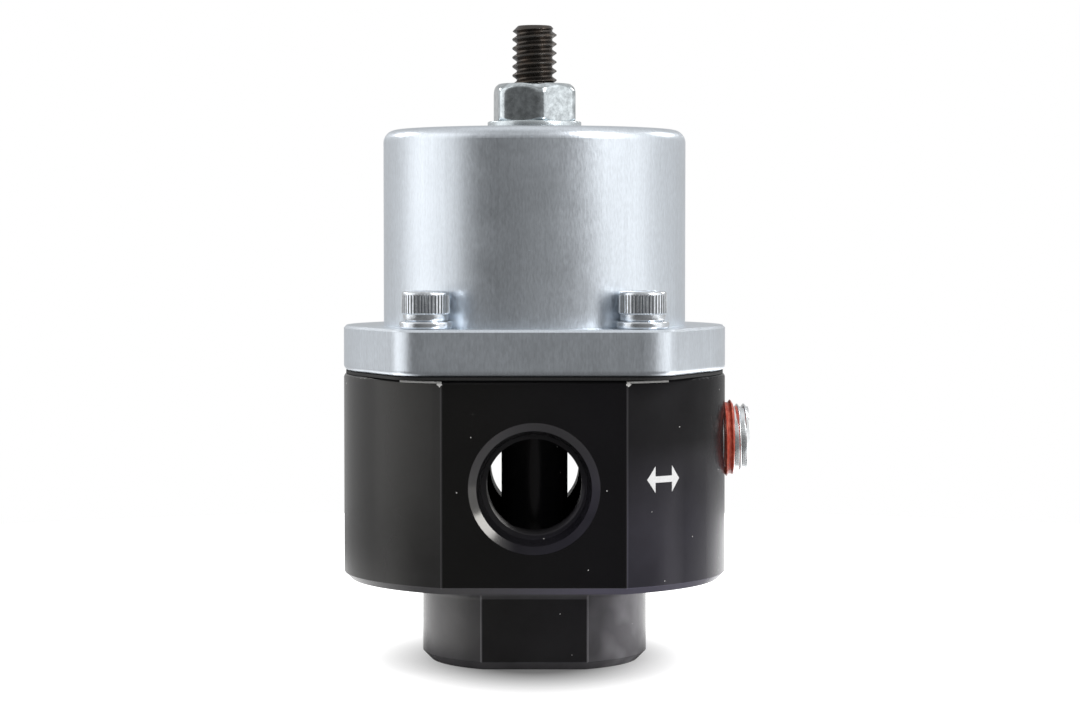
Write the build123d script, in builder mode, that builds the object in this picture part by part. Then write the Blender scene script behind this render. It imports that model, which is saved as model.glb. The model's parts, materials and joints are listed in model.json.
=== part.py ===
from build123d import *
import math
import os

# Return-style fuel pressure regulator, in millimetres.
# Z is the axis of the spring and the adjusting screw, and z = 0 is the bottom
# face of the return boss. The two side ports lie along Y, -Y is the marked side,
# and the gauge port looks along +X.

os.makedirs("parts", exist_ok=True)

# Fits
thread_gap = 0.05       # radial gap between a screw and the thread that holds it
press_gap = 0.02        # radial gap of what is pressed into a bore
slip_gap = 0.10         # radial gap of what is slid over a shank
wall_gap = 0.10         # lock washer to the bonnet's wall
cut_over = 0.5          # how far a cut runs on past a wall

# Adjusting screw, jam nut and sealing washer
thread_pitch = 1.27     # 1/4-20
screw_r = 3.15
screw_length = 25.4
screw_proud = 8.2       # above the jam nut
screw_top_chamfer = 0.8
screw_tip_r = 1.7
screw_socket_width = 3.175
screw_socket_depth = 3.5
turns_out = 2.0         # what the screw can be backed out by
jam_nut_width = 11.0
jam_nut_corner_r = 6.2
jam_nut_h = 5.3
jam_nut_top_chamfer = 1.0
jam_nut_low_chamfer = 0.4
jam_nut_turn = 39.0     # a corner stands 9 degrees off the marked side
seal_r = 6.63
seal_lip_r = 4.7
seal_t = 1.25

# Bonnet
bonnet_r = 21.35
bonnet_h = 27.45
bonnet_top_fillet = 1.75
bonnet_top_wall = 4.5
bonnet_side_gap = 2.5   # spring cup to the inside of the wall
thread_boss_r = 7.0
thread_boss_gap = 0.2   # over the spring button with the screw backed out
flange_t = 6.35
flange_lower_edge = 0.85
flange_upper_edge = 0.35

# Cap screws and lock washers
cap_head_r = 3.3
cap_head_h = 4.1
cap_head_edge = 0.35
cap_root_r = 1.65
cap_length = 19.05
cap_socket_width = 3.57
cap_socket_depth = 2.0
cap_angle = 36.0        # from the port axis
lock_washer_r = 3.5
lock_washer_t = 1.05
lock_washer_split = 0.6
ear_r = 5.0
screw_edge_land = 2.05  # from a cap screw's axis to the body's outside
cap_hole_spare = 1.2

# Body and return boss
boss_r = 15.875
boss_h = 11.65
boss_flat_cut = 1.8
boss_edge = 1.2
boss_fillet = 2.0
body_h = 28.9
body_flat_cut = 3.06
body_lower_edge = 0.9
body_rim = 0.6

# Straight-thread ports with an O-ring seat
port_rise = 14.25       # above the body's lower face
port_mouth_r = 8.85
port_mouth_depth = 0.6
port_seat_r = 7.8
port_major_r = 7.15
port_minor_r = 6.5
port_seat_depth = 3.4
return_port_depth = 12.5
return_bore_r = 2.6

# Fuel chamber and its post
chamber_r = 13.8
chamber_floor_gap = 0.4
chamber_corner = 1.0
post_r = 4.7
diaphragm_room_r = 18.5
diaphragm_room_h = 4.2

# Diaphragm stack and valve
diaphragm_t = 0.4
diaphragm_inset = 0.3
plate_r = 14.0
lower_plate_t = 1.6
upper_plate_t = 1.5
cup_rim_t = 1.6
cup_rim_h = 1.6
stem_r = 2.4
stem_head_r = 5.4
stem_head_t = 1.5
stem_end_proud = 1.0
pad_r = 4.2
pad_t = 1.2
pad_sunk = 0.7
stem_nut_width = 9.5
stem_nut_h = 3.2
stem_nut_chamfer = 0.3
valve_lift = 1.0
seat_r = 3.5
seat_bore_r = 2.0
seat_rim_r = 2.9
seat_rim_h = 0.9
seat_depth = 5.0

# Spring and its button
spring_wire_r = 1.2
spring_turns = 4.0
spring_cup_gap = 0.4
spring_end_sink = 0.45  # how much of the wire is ground flat at each end
button_rim_t = 2.4
button_rim_spare = 0.6
button_hub_r = 5.0
button_hub_h = 1.9
button_dimple_r = 2.7
button_dimple_h = 0.6
button_pilot_h = 1.6
button_pilot_gap = 0.3

# Gauge port and its plug
gauge_drop = 9.35       # below the body's top
plug_r = 4.9
plug_taper = 0.3
plug_length = 10.5
plug_proud = 3.3
plug_edge = 0.45
plug_socket_width = 4.76
plug_socket_depth = 5.0
gauge_mouth_r = 5.9
sealant_r = 5.45
sealant_from = -0.3     # from the body's outside, along +X
sealant_width = 1.8

# Reference nipple on the far side of the bonnet
nipple_rise = 12.7      # above the flange
nipple_r = 1.9
nipple_bore_r = 1.1
nipple_barb_r = 2.6
nipple_barb_h = 3.2
nipple_barbs = 2
nipple_collar_r = 3.2
nipple_collar_t = 1.5
nipple_neck = 2.0
nipple_seat_sink = 0.5

# Places that follow from the sizes
cap_circle_r = bonnet_r + wall_gap + lock_washer_r
cap_x = cap_circle_r * math.sin(math.radians(cap_angle))
cap_y = cap_circle_r * math.cos(math.radians(cap_angle))
body_r = cap_circle_r + screw_edge_land
body_flat_y = body_r - body_flat_cut
boss_flat_y = boss_r - boss_flat_cut
body_top_z = boss_h + body_h
flange_z = body_top_z + diaphragm_t
flange_top_z = flange_z + flange_t
bonnet_top_z = flange_top_z + bonnet_h
nut_z = bonnet_top_z + seal_t
screw_top_z = nut_z + jam_nut_h + screw_proud
screw_tip_z = screw_top_z - screw_length
thread_r = screw_r + thread_gap

port_z = boss_h + port_rise
gauge_z = body_top_z - gauge_drop
chamber_floor_z = port_z - port_minor_r - chamber_floor_gap
diaphragm_room_z = body_top_z - diaphragm_room_h
lower_plate_z = body_top_z - lower_plate_t
stem_head_z = lower_plate_z - stem_head_t
pad_z = stem_head_z + pad_sunk - pad_t
seat_shoulder_z = pad_z - seat_rim_h
cup_floor_z = flange_z + upper_plate_t
stem_top_z = cup_floor_z + stem_nut_h + stem_end_proud

button_top_z = screw_tip_z + button_dimple_h
button_rim_z = button_top_z - button_hub_h - button_rim_t
spring_outer_r = plate_r - cup_rim_t - spring_cup_gap
spring_mean_r = spring_outer_r - spring_wire_r
bonnet_room_r = plate_r + bonnet_side_gap
bonnet_ceiling_z = bonnet_top_z - bonnet_top_wall
thread_boss_z = button_top_z + turns_out * thread_pitch + thread_boss_gap
cap_points = [(x, y) for x in (-cap_x, cap_x) for y in (-cap_y, cap_y)]
cap_seat_z = flange_top_z + lock_washer_t
nipple_z = flange_top_z + nipple_rise


def flange_plan(inset=0.0):
    """Round sides, four ears about the cap screws and a flat between each pair of ears."""
    side = body_r - inset
    ear = ear_r - inset
    spread = math.acos((side - ear) / cap_circle_r)
    tangent = 90 - cap_angle - math.degrees(spread)
    turn = math.radians(tangent)
    side_end = (side * math.cos(turn), side * math.sin(turn))
    ear_start = (cap_x + ear * math.cos(turn), cap_y + ear * math.sin(turn))
    with BuildSketch() as plan:
        with BuildLine():
            CenterArc((0, 0), side, 0, tangent)
            Line(side_end, ear_start)
            CenterArc((cap_x, cap_y), ear, tangent, 90 - tangent)
            Line((cap_x, cap_y + ear), (0, cap_y + ear))
            mirror(about=Plane.YZ)
            mirror(about=Plane.XZ)
        make_face()
    return plan.sketch


def o_ring_port(depth, tip=0.0):
    """The space of a port: its mouth at z = 0, the hole going down."""
    root_depth = port_seat_depth + port_major_r - port_minor_r
    with BuildPart() as port:
        with BuildSketch(Plane.XZ):
            with BuildLine():
                Polyline(
                    (0, 0),
                    (port_mouth_r, 0),
                    (port_seat_r, -port_mouth_depth),
                    (port_major_r, -port_seat_depth),
                    (port_minor_r, -root_depth),
                    (port_minor_r, -depth),
                    (0, -depth - tip),
                    close=True,
                )
            make_face()
        revolve(axis=Axis.Z)
    return port.part


# Body: a round block with a flat round each side port and a boss below for the return
port_reach = body_flat_y - math.sqrt(chamber_r**2 - port_minor_r**2) + cut_over
with BuildPart() as body:
    with BuildSketch(Plane.XY.offset(boss_h)):
        Circle(body_r)
        Rectangle(2 * body_r, 2 * body_flat_y, mode=Mode.INTERSECT)
    extrude(amount=body_h)
    chamfer(body.edges().group_by(Axis.Z)[0], body_lower_edge)
    fillet(body.edges().group_by(Axis.Z)[-1], body_rim)
    with BuildSketch():
        Circle(boss_r)
        Rectangle(2 * boss_r, 2 * boss_flat_y, mode=Mode.INTERSECT)
    extrude(amount=boss_h)
    fillet(body.edges(Select.LAST).group_by(Axis.Z)[-1], boss_fillet)
    chamfer(body.edges().group_by(Axis.Z)[0], boss_edge)
    # the fuel chamber leaves a post standing on the axis
    with BuildSketch(Plane.XZ):
        with BuildLine():
            Polyline(
                (post_r, seat_shoulder_z),
                (post_r, chamber_floor_z),
                (chamber_r - chamber_corner, chamber_floor_z),
                (chamber_r, chamber_floor_z + chamber_corner),
                (chamber_r, diaphragm_room_z),
                (diaphragm_room_r, diaphragm_room_z),
                (diaphragm_room_r, body_top_z),
                (0, body_top_z),
                (0, seat_shoulder_z),
                close=True,
            )
        make_face()
    revolve(axis=Axis.Z, mode=Mode.SUBTRACT)
    # side ports and the return port below
    with Locations(
        Location((0, -body_flat_y, port_z), (90, 0, 0)),
        Location((0, body_flat_y, port_z), (-90, 0, 0)),
    ):
        add(o_ring_port(port_reach), mode=Mode.SUBTRACT)
    with Locations(Location((0, 0, 0), (180, 0, 0))):
        add(o_ring_port(return_port_depth, tip=port_minor_r / 2), mode=Mode.SUBTRACT)
    with BuildSketch():
        Circle(return_bore_r)
    extrude(amount=seat_shoulder_z, mode=Mode.SUBTRACT)
    with BuildSketch(Plane.XY.offset(seat_shoulder_z)):
        Circle(seat_r + press_gap)
    extrude(amount=-seat_depth, mode=Mode.SUBTRACT)
    # gauge port along +X, with a small countersink
    with BuildSketch(Plane.XZ):
        with BuildLine():
            inner_x = math.sqrt(chamber_r**2 - plug_r**2) - cut_over
            outer_x = body_r + plug_proud
            grow = plug_taper / plug_length
            hole_r = plug_r + thread_gap
            mouth_x = body_r - (gauge_mouth_r - hole_r)
            Polyline(
                (inner_x, gauge_z),
                (inner_x, gauge_z + hole_r - grow * (outer_x - inner_x)),
                (mouth_x, gauge_z + hole_r - grow * (outer_x - mouth_x)),
                (body_r, gauge_z + gauge_mouth_r),
                (outer_x, gauge_z + gauge_mouth_r),
                (outer_x, gauge_z),
                close=True,
            )
        make_face()
    revolve(axis=Axis((0, 0, gauge_z), (1, 0, 0)), mode=Mode.SUBTRACT)
    # tapped holes for the cap screws
    with BuildSketch(Plane.XY.offset(body_top_z)):
        with Locations(*cap_points):
            Circle(cap_root_r + thread_gap)
    extrude(amount=-(cap_length - lock_washer_t - flange_t + cap_hole_spare), mode=Mode.SUBTRACT)
body.part.label = "body"
export_step(body.part, "parts/body.step")

# Valve seat: a turned insert in the top of the post
with BuildPart() as valve_seat:
    with BuildSketch(Plane.XZ):
        with BuildLine():
            Polyline(
                (seat_bore_r, seat_shoulder_z - seat_depth),
                (seat_r, seat_shoulder_z - seat_depth),
                (seat_r, seat_shoulder_z),
                (seat_rim_r, pad_z),
                (seat_bore_r, pad_z),
                close=True,
            )
        make_face()
    revolve(axis=Axis.Z)
valve_seat.part.label = "valve_seat"
export_step(valve_seat.part, "parts/valve_seat.step")

# Diaphragm: a die-cut sheet with the flange's outline
with BuildPart() as diaphragm:
    with BuildSketch(Plane.XY.offset(body_top_z)):
        add(flange_plan(diaphragm_inset))
        with Locations(*cap_points):
            Circle(cap_root_r + slip_gap, mode=Mode.SUBTRACT)
        Circle(stem_r + slip_gap, mode=Mode.SUBTRACT)
    extrude(amount=diaphragm_t)
diaphragm.part.label = "diaphragm"
export_step(diaphragm.part, "parts/diaphragm.step")

# Lower plate, under the diaphragm
with BuildPart() as lower_plate:
    with BuildSketch(Plane.XY.offset(lower_plate_z)):
        Circle(plate_r)
        Circle(stem_r + slip_gap, mode=Mode.SUBTRACT)
    extrude(amount=lower_plate_t)
    fillet(lower_plate.faces().sort_by(Axis.Z)[-1].outer_wire().edges(), lower_plate_t / 2)
lower_plate.part.label = "lower_plate"
export_step(lower_plate.part, "parts/lower_plate.step")

# Upper plate: a cup that centres the spring
with BuildPart() as upper_plate:
    with BuildSketch(Plane.XZ):
        with BuildLine():
            Polyline(
                (stem_r + slip_gap, flange_z),
                (plate_r - upper_plate_t / 2, flange_z),
                (plate_r, flange_z + upper_plate_t / 2),
                (plate_r, cup_floor_z + cup_rim_h),
                (plate_r - cup_rim_t, cup_floor_z + cup_rim_h),
                (plate_r - cup_rim_t, cup_floor_z),
                (stem_r + slip_gap, cup_floor_z),
                close=True,
            )
        make_face()
    revolve(axis=Axis.Z)
upper_plate.part.label = "upper_plate"
export_step(upper_plate.part, "parts/upper_plate.step")

# Valve stem: a headed stud that clamps the plates and carries the valve pad
with BuildPart() as valve_stem:
    with BuildSketch(Plane.XZ):
        with BuildLine():
            Polyline(
                (0, stem_head_z + pad_sunk),
                (pad_r + press_gap, stem_head_z + pad_sunk),
                (pad_r + press_gap, stem_head_z),
                (stem_head_r, stem_head_z),
                (stem_head_r, lower_plate_z),
                (stem_r, lower_plate_z),
                (stem_r, stem_top_z - stem_end_proud / 2),
                (stem_r - stem_end_proud / 2, stem_top_z),
                (0, stem_top_z),
                close=True,
            )
        make_face()
    revolve(axis=Axis.Z)
valve_stem.part.label = "valve_stem"
export_step(valve_stem.part, "parts/valve_stem.step")

# Valve pad: the rubber disc that closes on the seat
with BuildPart() as valve_pad:
    with BuildSketch(Plane.XY.offset(pad_z)):
        Circle(pad_r)
    extrude(amount=pad_t)
valve_pad.part.label = "valve_pad"
export_step(valve_pad.part, "parts/valve_pad.step")

# Stem nut
with BuildPart() as stem_nut:
    with BuildSketch(Plane.XY.offset(cup_floor_z)):
        RegularPolygon(stem_nut_width / 2, 6, major_radius=False)
        Circle(stem_r + thread_gap, mode=Mode.SUBTRACT)
    extrude(amount=stem_nut_h)
    with BuildSketch(Plane.XZ):
        with BuildLine():
            full_r = stem_nut_width / math.sqrt(3)
            face_r = stem_nut_width / 2
            Polyline(
                (0, cup_floor_z),
                (full_r, cup_floor_z),
                (full_r, cup_floor_z + stem_nut_h - stem_nut_chamfer),
                (face_r, cup_floor_z + stem_nut_h),
                (0, cup_floor_z + stem_nut_h),
                close=True,
            )
        make_face()
    revolve(axis=Axis.Z, mode=Mode.INTERSECT)
stem_nut.part.label = "stem_nut"
export_step(stem_nut.part, "parts/stem_nut.step")

# Pressure spring: round wire with both ends ground flat
spring_low_z = cup_floor_z + spring_wire_r - spring_end_sink
spring_high_z = button_rim_z - spring_wire_r + spring_end_sink
spring_rise = spring_high_z - spring_low_z
with BuildPart() as pressure_spring:
    with BuildLine():
        wire_path = Helix(
            pitch=spring_rise / spring_turns,
            height=spring_rise,
            radius=spring_mean_r,
            center=(0, 0, spring_low_z),
        )
    with BuildSketch(Plane(origin=wire_path @ 0, z_dir=wire_path % 0)):
        Circle(spring_wire_r)
    sweep(path=wire_path, is_frenet=True)
    split(bisect_by=Plane.XY.offset(cup_floor_z), keep=Keep.TOP)
    split(bisect_by=Plane.XY.offset(button_rim_z), keep=Keep.BOTTOM)
pressure_spring.part.label = "pressure_spring"
export_step(pressure_spring.part, "parts/pressure_spring.step")

# Spring button, with a dimple for the screw's tip and a pilot inside the spring
with BuildPart() as spring_button:
    with BuildSketch(Plane.XZ):
        with BuildLine():
            pilot_r = spring_mean_r - spring_wire_r - button_pilot_gap
            Polyline(
                (0, button_rim_z - button_pilot_h),
                (pilot_r - button_pilot_h / 2, button_rim_z - button_pilot_h),
                (pilot_r, button_rim_z - button_pilot_h / 2),
                (pilot_r, button_rim_z),
                (spring_outer_r + button_rim_spare, button_rim_z),
                (spring_outer_r + button_rim_spare, button_rim_z + button_rim_t),
                (button_hub_r, button_rim_z + button_rim_t),
                (button_hub_r, button_top_z),
                (button_dimple_r, button_top_z),
                (button_dimple_r - button_dimple_h / 2, screw_tip_z),
                (0, screw_tip_z),
                close=True,
            )
        make_face()
    revolve(axis=Axis.Z)
spring_button.part.label = "spring_button"
export_step(spring_button.part, "parts/spring_button.step")

# Bonnet: a turned can with the clamping flange in one piece
with BuildPart() as bonnet:
    with BuildSketch(Plane.XY.offset(flange_z)):
        add(flange_plan())
    extrude(amount=flange_t)
    fillet(bonnet.edges().group_by(Axis.Z)[0], flange_lower_edge)
    chamfer(bonnet.edges().group_by(Axis.Z)[-1], flange_upper_edge)
    with BuildSketch(Plane.XY.offset(flange_top_z)):
        Circle(bonnet_r)
    extrude(amount=bonnet_h)
    fillet(bonnet.edges().group_by(Axis.Z)[-1], bonnet_top_fillet)
    # the spring chamber, opening out over the diaphragm
    with BuildSketch(Plane.XZ):
        with BuildLine():
            step_z = cup_floor_z + cup_rim_h + valve_lift
            Polyline(
                (0, flange_z),
                (diaphragm_room_r, flange_z),
                (diaphragm_room_r, step_z),
                (bonnet_room_r, step_z + diaphragm_room_r - bonnet_room_r),
                (bonnet_room_r, bonnet_ceiling_z),
                (thread_boss_r, bonnet_ceiling_z),
                (thread_boss_r, thread_boss_z),
                (0, thread_boss_z),
                close=True,
            )
        make_face()
    revolve(axis=Axis.Z, mode=Mode.SUBTRACT)
    with BuildSketch(Plane.XY.offset(bonnet_top_z)):
        Circle(thread_r)
    extrude(amount=thread_boss_z - bonnet_top_z, mode=Mode.SUBTRACT)
    with BuildSketch(Plane.XY.offset(flange_z)):
        with Locations(*cap_points):
            Circle(cap_root_r + slip_gap)
    extrude(amount=flange_t, mode=Mode.SUBTRACT)
    with BuildSketch(Plane.XZ.offset(-bonnet_room_r + bonnet_side_gap)):
        with Locations((0, nipple_z)):
            Circle(nipple_r + press_gap)
    extrude(amount=-bonnet_r, mode=Mode.SUBTRACT)
bonnet.part.label = "bonnet"
export_step(bonnet.part, "parts/bonnet.step")

# Reference nipple: a small hose tail for the spring chamber
nipple_face_y = bonnet_r
nipple_tail_y = nipple_face_y + nipple_collar_t + nipple_neck
with BuildPart() as reference_nipple:
    with BuildSketch(Plane.YZ):
        with BuildLine():
            outline = [
                (bonnet_room_r + nipple_seat_sink, nipple_z + nipple_bore_r),
                (bonnet_room_r + nipple_seat_sink, nipple_z + nipple_r),
                (nipple_face_y, nipple_z + nipple_r),
                (nipple_face_y, nipple_z + nipple_collar_r),
                (nipple_face_y + nipple_collar_t, nipple_z + nipple_collar_r),
                (nipple_face_y + nipple_collar_t, nipple_z + nipple_r),
                (nipple_tail_y, nipple_z + nipple_r),
            ]
            for barb in range(nipple_barbs):
                start_y = nipple_tail_y + barb * nipple_barb_h
                outline += [
                    (start_y, nipple_z + nipple_barb_r),
                    (start_y + nipple_barb_h, nipple_z + nipple_r),
                ]
            outline.append((nipple_tail_y + nipple_barbs * nipple_barb_h, nipple_z + nipple_bore_r))
            Polyline(*outline, close=True)
        make_face()
    revolve(axis=Axis((0, 0, nipple_z), (0, 1, 0)))
reference_nipple.part.label = "reference_nipple"
export_step(reference_nipple.part, "parts/reference_nipple.step")

# Lock washers: four split rings
with BuildPart() as lock_washers:
    with BuildSketch(Plane.XY.offset(flange_top_z)):
        with Locations(*cap_points):
            Circle(lock_washer_r)
            Circle(cap_root_r + slip_gap, mode=Mode.SUBTRACT)
        for x, y in cap_points:
            with Locations(Location((x, y), 180 if y < 0 else 0)):
                Rectangle(
                    lock_washer_split,
                    lock_washer_r + cut_over,
                    align=(Align.CENTER, Align.MIN),
                    mode=Mode.SUBTRACT,
                )
    extrude(amount=lock_washer_t)
lock_washers.part.label = "lock_washers"
export_step(lock_washers.part, "parts/lock_washers.step")

# Cap screws: four, with a hexagon socket
with BuildPart() as bonnet_screws:
    with BuildSketch(Plane.XY.offset(cap_seat_z)):
        with Locations(*cap_points):
            Circle(cap_head_r)
    extrude(amount=cap_head_h)
    chamfer(bonnet_screws.edges().group_by(Axis.Z)[-1], cap_head_edge)
    with BuildSketch(Plane.XY.offset(cap_seat_z)):
        with Locations(*cap_points):
            Circle(cap_root_r)
    extrude(amount=-cap_length)
    with BuildSketch(Plane.XY.offset(cap_seat_z + cap_head_h)):
        with Locations(*cap_points):
            RegularPolygon(cap_socket_width / 2, 6, major_radius=False)
    extrude(amount=-cap_socket_depth, mode=Mode.SUBTRACT)
bonnet_screws.part.label = "bonnet_screws"
export_step(bonnet_screws.part, "parts/bonnet_screws.step")

# Sealing washer: a steel ring with a rubber lip bonded inside it
with BuildPart() as seal_ring:
    with BuildSketch(Plane.XY.offset(bonnet_top_z)):
        Circle(seal_r)
        Circle(seal_lip_r, mode=Mode.SUBTRACT)
    extrude(amount=seal_t)
seal_ring.part.label = "seal_ring"
export_step(seal_ring.part, "parts/seal_ring.step")

with BuildPart() as seal_lip:
    with BuildSketch(Plane.XY.offset(bonnet_top_z)):
        Circle(seal_lip_r)
        Circle(thread_r, mode=Mode.SUBTRACT)
    extrude(amount=seal_t)
seal_lip.part.label = "seal_lip"
export_step(seal_lip.part, "parts/seal_lip.step")

# Jam nut, chamfered on both faces
with BuildPart() as jam_nut:
    with BuildSketch(Plane.XY.offset(nut_z)):
        RegularPolygon(jam_nut_width / 2, 6, major_radius=False, rotation=jam_nut_turn)
        Circle(thread_r, mode=Mode.SUBTRACT)
    extrude(amount=jam_nut_h)
    with BuildSketch(Plane.XZ):
        with BuildLine():
            Polyline(
                (0, nut_z),
                (jam_nut_corner_r - jam_nut_low_chamfer, nut_z),
                (jam_nut_corner_r, nut_z + jam_nut_low_chamfer),
                (jam_nut_corner_r, nut_z + jam_nut_h - jam_nut_top_chamfer),
                (jam_nut_corner_r - jam_nut_top_chamfer, nut_z + jam_nut_h),
                (0, nut_z + jam_nut_h),
                close=True,
            )
        make_face()
    revolve(axis=Axis.Z, mode=Mode.INTERSECT)
jam_nut.part.label = "jam_nut"
export_step(jam_nut.part, "parts/jam_nut.step")

# Adjusting screw: a socket set screw
with BuildPart() as adjusting_screw:
    with BuildSketch(Plane.XZ):
        with BuildLine():
            Polyline(
                (0, screw_tip_z),
                (screw_tip_r, screw_tip_z),
                (screw_r, screw_tip_z + screw_r - screw_tip_r),
                (screw_r, screw_top_z - screw_top_chamfer),
                (screw_r - screw_top_chamfer, screw_top_z),
                (0, screw_top_z),
                close=True,
            )
        make_face()
    revolve(axis=Axis.Z)
    with BuildSketch(Plane.XY.offset(screw_top_z)):
        RegularPolygon(screw_socket_width / 2, 6, major_radius=False)
    extrude(amount=-screw_socket_depth, mode=Mode.SUBTRACT)
adjusting_screw.part.label = "adjusting_screw"
export_step(adjusting_screw.part, "parts/adjusting_screw.step")

# Gauge port plug: a tapered socket plug that stands proud of the body
plug_end_x = body_r + plug_proud
with BuildPart() as gauge_plug:
    with BuildSketch(Plane.XZ):
        with BuildLine():
            inner_r = plug_r - plug_taper
            Polyline(
                (plug_end_x - plug_length, gauge_z),
                (plug_end_x - plug_length, gauge_z + inner_r - plug_edge),
                (plug_end_x - plug_length + plug_edge, gauge_z + inner_r),
                (plug_end_x - plug_edge, gauge_z + plug_r),
                (plug_end_x, gauge_z + plug_r - plug_edge),
                (plug_end_x, gauge_z),
                close=True,
            )
        make_face()
    revolve(axis=Axis((0, 0, gauge_z), (1, 0, 0)))
    with BuildSketch(Plane.YZ.offset(plug_end_x)):
        with Locations((0, gauge_z)):
            RegularPolygon(plug_socket_width / 2, 6, major_radius=False)
    extrude(amount=-plug_socket_depth, mode=Mode.SUBTRACT)
gauge_plug.part.label = "gauge_plug"
export_step(gauge_plug.part, "parts/gauge_plug.step")

# Thread sealant: the band squeezed out round the plug
sealant_x = body_r + sealant_from
with BuildPart() as thread_sealant:
    with BuildSketch(Plane.XZ):
        with BuildLine():
            band_r = plug_r + press_gap
            crown = (sealant_r - band_r) / 2
            Polyline(
                (sealant_x, gauge_z + band_r),
                (sealant_x, gauge_z + sealant_r - crown / 2),
                (sealant_x + crown, gauge_z + sealant_r),
                (sealant_x + sealant_width - crown, gauge_z + sealant_r),
                (sealant_x + sealant_width, gauge_z + sealant_r - crown),
                (sealant_x + sealant_width, gauge_z + band_r),
                close=True,
            )
        make_face()
    revolve(axis=Axis((0, 0, gauge_z), (1, 0, 0)))
thread_sealant.part.label = "thread_sealant"
export_step(thread_sealant.part, "parts/thread_sealant.step")
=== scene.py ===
import json
import math

import bmesh
import bpy
import mathutils.noise
from bpy.props import FloatProperty, FloatVectorProperty, IntProperty, PointerProperty
from bpy.types import Operator, Panel, PropertyGroup
from mathutils import Matrix, Vector


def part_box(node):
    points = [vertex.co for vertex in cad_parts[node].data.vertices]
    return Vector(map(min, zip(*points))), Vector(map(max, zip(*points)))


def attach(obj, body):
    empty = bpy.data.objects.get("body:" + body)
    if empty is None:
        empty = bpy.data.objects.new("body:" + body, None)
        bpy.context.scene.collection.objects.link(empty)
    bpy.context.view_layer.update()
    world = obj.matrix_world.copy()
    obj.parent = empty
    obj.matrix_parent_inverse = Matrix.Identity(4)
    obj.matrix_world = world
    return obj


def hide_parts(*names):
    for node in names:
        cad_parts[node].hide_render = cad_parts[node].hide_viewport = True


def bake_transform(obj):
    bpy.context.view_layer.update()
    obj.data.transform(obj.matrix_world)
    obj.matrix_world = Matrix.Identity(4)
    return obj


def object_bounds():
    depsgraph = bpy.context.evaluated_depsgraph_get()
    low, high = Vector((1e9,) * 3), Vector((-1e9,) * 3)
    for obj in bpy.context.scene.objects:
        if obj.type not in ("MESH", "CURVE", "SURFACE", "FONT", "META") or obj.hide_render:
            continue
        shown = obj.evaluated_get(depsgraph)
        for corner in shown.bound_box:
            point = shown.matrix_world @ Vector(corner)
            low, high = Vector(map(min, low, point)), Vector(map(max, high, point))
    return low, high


bl_info = {
    "name": "Fuel pressure regulator",
    "version": (1, 0, 0),
    "blender": (4, 5, 0),
    "location": "3D Viewport > Sidebar > Regulator",
    "description": "Dresses a fuel pressure regulator: threads, knurls, finishes and the studio",
    "category": "Object",
}

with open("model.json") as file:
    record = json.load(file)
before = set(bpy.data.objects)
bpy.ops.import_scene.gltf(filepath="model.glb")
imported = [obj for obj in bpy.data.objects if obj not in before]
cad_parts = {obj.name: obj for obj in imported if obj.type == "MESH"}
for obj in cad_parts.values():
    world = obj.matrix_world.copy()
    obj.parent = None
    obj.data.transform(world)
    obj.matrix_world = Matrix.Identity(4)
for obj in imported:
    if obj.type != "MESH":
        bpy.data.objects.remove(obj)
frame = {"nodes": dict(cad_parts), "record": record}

MM = 0.001
TAU = 2 * math.pi
MERGE = 1e-6                # vertices nearer than this are one
HAIR = 1e-6                 # what a whole number of rows may be over
FLAT = math.radians(0.2)    # faces that turn by less than this are one
SEED = 7
DIAPHRAGM_SLICES, SLICE_STEPS = 8, 12
# white of dust specks and of the painted highlight on the body's rim
DUST_AND_HIGHLIGHT_WHITE = (0.95, 0.94, 0.92, 1.0)

CAD_LOW, CAD_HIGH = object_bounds()
BODY_LOW, BODY_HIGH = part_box("body")
SCREW_LOW, SCREW_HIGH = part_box("adjusting_screw")
NUT_LOW, NUT_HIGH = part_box("jam_nut")
CAP_LOW, CAP_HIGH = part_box("bonnet_screws")
WASHER_LOW, WASHER_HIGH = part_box("lock_washers")
PLUG_LOW, PLUG_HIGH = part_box("gauge_plug")
SEALANT_LOW, SEALANT_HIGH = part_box("thread_sealant")
RING_LOW, RING_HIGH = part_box("seal_ring")
SPRING_LOW, SPRING_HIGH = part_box("pressure_spring")
SHEET_LOW, SHEET_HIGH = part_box("diaphragm")


def half_width(low, high):
    return (high.x - low.x) / 2


def mount_place(name):
    """The middle of a mount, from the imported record."""
    return Vector(next(m for m in frame["record"]["mounts"] if m["name"] == name)["pos_m"])


# Places in the CAD that the finishes and the screws follow

PORT_Z = mount_place("inlet_port").z
MOUTH_RADIUS = 8.9 * MM             # just outside the countersink of a port
MOUTH_Y = 23.2 * MM                 # just behind the body's flats
BODY_CORNER = (12.486 * MM, 23.94 * MM)     # where a flat of the body ends
BOSS_CORNER = (7.343 * MM, 14.075 * MM)     # where a flat of the boss ends
BOSS_TOP = 11.65 * MM
BODY_EDGE_TOP = 12.6 * MM           # top of the broken edge below the body
BOSS_FLAT_LOW, BOSS_FLAT_HIGH = 1.1 * MM, 10.3 * MM
RIM_Z = 40.22 * MM                  # the body's upper rim
CAD_CAP_HEAD = 3.3 * MM             # radius of a cap screw's head in the CAD
CAP_AXIS = [high - CAD_CAP_HEAD for high in CAP_HIGH.xy]
CAP_SPAN = [high - low - 2 * CAD_CAP_HEAD for low, high in zip(CAP_LOW.xy, CAP_HIGH.xy)]


# Driving sizes and colours

def size_prop(name, description, millimetres):
    """A length that a user may change."""
    return FloatProperty(
        name=name, description=description, default=millimetres * MM,
        unit="LENGTH", precision=5)


def colour_prop(name, description, red, green, blue):
    return FloatVectorProperty(
        name=name, description=description, default=(red, green, blue),
        subtype="COLOR", min=0, max=1)


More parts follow.
